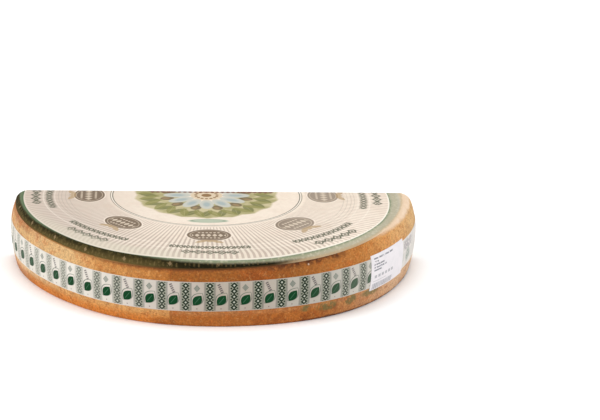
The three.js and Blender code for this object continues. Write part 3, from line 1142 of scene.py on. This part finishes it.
class MESH_OT_cheese_side_papers(bpy.types.Operator):
    """Wraps the printed band round the side and sticks the ticket over it"""

    bl_idname = "mesh.cheese_side_papers"
    bl_label = "Band and Ticket"

    BAND_COLUMNS, BAND_ROWS = 512, 12
    TICKET_COLUMNS, TICKET_ROWS = 60, 57
    STEP_DOWN = 1.5 * MM

    def execute(self, context):
        size = papers()
        band = paper_strip(
            "rind_band", -math.pi / 2, math.pi / 2, size.band_foot, size.band_head,
            self.BAND_COLUMNS, self.BAND_ROWS, lambda height: size.lift,
        )
        hand_over(band, "side_band", [band_finish()])
        ticket = paper_strip(
            "ticket", size.ticket_start, size.ticket_end, size.ticket_foot, size.ticket_head,
            self.TICKET_COLUMNS, self.TICKET_ROWS, self.ticket_lift,
        )
        hand_over(ticket, "side_ticket", [ticket_finish()])
        return {"FINISHED"}

    def ticket_lift(self, height):
        """The ticket lies on the band and comes down to the rind past the band's edges."""
        size = papers()
        past = max(size.band_foot - height, height - size.band_head, 0)
        over_band = size.lift + size.thickness + size.lift
        return max(size.lift, over_band * (1 - past / self.STEP_DOWN))


# The stage: a pale floor, soft light and the camera.
# The camera is the one fitted to the photograph, with its turns in radians and its lens in millimetres.

CAMERA_PLACE = Vector((-0.04699, CUT_Y - 3.31198, 1.18075))
CAMERA_YAW, CAMERA_PITCH, CAMERA_ROLL = -0.05542, -0.32081, -0.02466
CAMERA_LENS = 131.2922
FLOOR_SIZE = 40
FLOOR_GLOW = 0.14
GLOW_START, GLOW_END = 300, 1900  # millimetres back from the middle of the cheese
ROOM_LIGHT = 0.62
LAMPS_AIM = (0, 0, 0.05)
LAMPS = (  # name, place, size in metres, power in watts
    ("left_box", (-3.0, -1.4, 1.9), 2.0, 62),
    ("right_box", (3.0, -1.2, 1.7), 2.0, 42),
    ("top_box", (0.0, 0.2, 3.2), 2.6, 40),
)


def add_lamp(name, place_at, size, power):
    bpy.ops.object.light_add(type="AREA", location=place_at)
    lamp = bpy.context.object
    lamp.name = name
    lamp.data.shape = "DISK"
    lamp.data.size = size
    lamp.data.energy = power
    lamp.rotation_euler = (Vector(LAMPS_AIM) - Vector(place_at)).to_track_quat("-Z", "Y").to_euler()


class SCENE_OT_cheese_stage(bpy.types.Operator):
    """Sets the pale floor, the soft light and the camera"""

    bl_idname = "scene.cheese_stage"
    bl_label = "Stage"

    def execute(self, context):
        begin()
        bpy.ops.mesh.primitive_plane_add(size=FLOOR_SIZE, location=(0, 0, 0))
        floor = bpy.context.object
        floor.name = "floor"
        floor.data.materials.append(self.floor_finish())
        self.light()
        self.camera()
        return {"FINISHED"}

    def floor_finish(self):
        """White, with a faint glow far behind the cheese, so that floor and room meet unseen."""
        finish = Finish("floor_white", (0.97, 0.97, 0.97), 0.9, 0.1)
        behind = finish.millimetres(finish.object_place)[1].between(GLOW_START, GLOW_END)
        finish.feed(finish.shader.inputs["Emission Strength"], behind * FLOOR_GLOW)
        return finish.ready()

    def light(self):
        for lamp in LAMPS:
            add_lamp(*lamp)
        world = bpy.context.scene.world or bpy.data.worlds.new("white room")
        bpy.context.scene.world = world
        world.use_nodes = True
        background = world.node_tree.nodes["Background"]
        background.inputs["Color"].default_value = (1, 1, 1, 1)
        background.inputs["Strength"].default_value = ROOM_LIGHT
        bpy.context.scene.view_settings.view_transform = "Standard"

    def camera(self):
        bpy.ops.object.camera_add(location=CAMERA_PLACE)
        camera = bpy.context.object
        camera.name = "camera"
        look = (Matrix.Rotation(CAMERA_YAW, 3, "Z") @ Matrix.Rotation(math.pi / 2 + CAMERA_PITCH, 3, "X")
                @ Matrix.Rotation(-CAMERA_ROLL, 3, "Z"))
        camera.rotation_euler = look.to_euler()
        camera.data.lens = CAMERA_LENS
        camera.data.clip_end = 100
        bpy.context.scene.camera = camera


class VIEW3D_PT_cheese(bpy.types.Panel):
    """Lists the steps that build the half wheel"""

    bl_label = "Half Wheel of Cheese"
    bl_idname = "VIEW3D_PT_cheese"
    bl_space_type = "VIEW_3D"
    bl_region_type = "UI"
    bl_category = "Cheese"

    def draw(self, context):
        for step in STEPS:
            self.layout.operator(step.bl_idname)
        for group in (wheel(), papers(), colours()):
            box_of = self.layout.box()
            for name in group.__annotations__:
                box_of.prop(group, name)


STEPS = (
    SCENE_OT_cheese_stage,
    MESH_OT_cheese_half_wheel,
    MESH_OT_cheese_top_paper,
    MESH_OT_cheese_side_papers,
)
GROUPS = {
    "cheese_wheel": CheeseWheelSizes,
    "cheese_papers": CheesePaperSizes,
    "cheese_colours": CheeseColours,
}


def register():
    for kind in (*GROUPS.values(), *STEPS, VIEW3D_PT_cheese):
        bpy.utils.register_class(kind)
    for name, kind in GROUPS.items():
        setattr(bpy.types.Scene, name, PointerProperty(type=kind))


def unregister():
    for name in GROUPS:
        delattr(bpy.types.Scene, name)
    for kind in reversed((*GROUPS.values(), *STEPS, VIEW3D_PT_cheese)):
        bpy.utils.unregister_class(kind)


def main():
    register()
    bpy.ops.scene.cheese_stage()
    bpy.ops.mesh.cheese_half_wheel()
    bpy.ops.mesh.cheese_top_paper()
    bpy.ops.mesh.cheese_side_papers()
    begin()


if __name__ == "__main__":
    main()
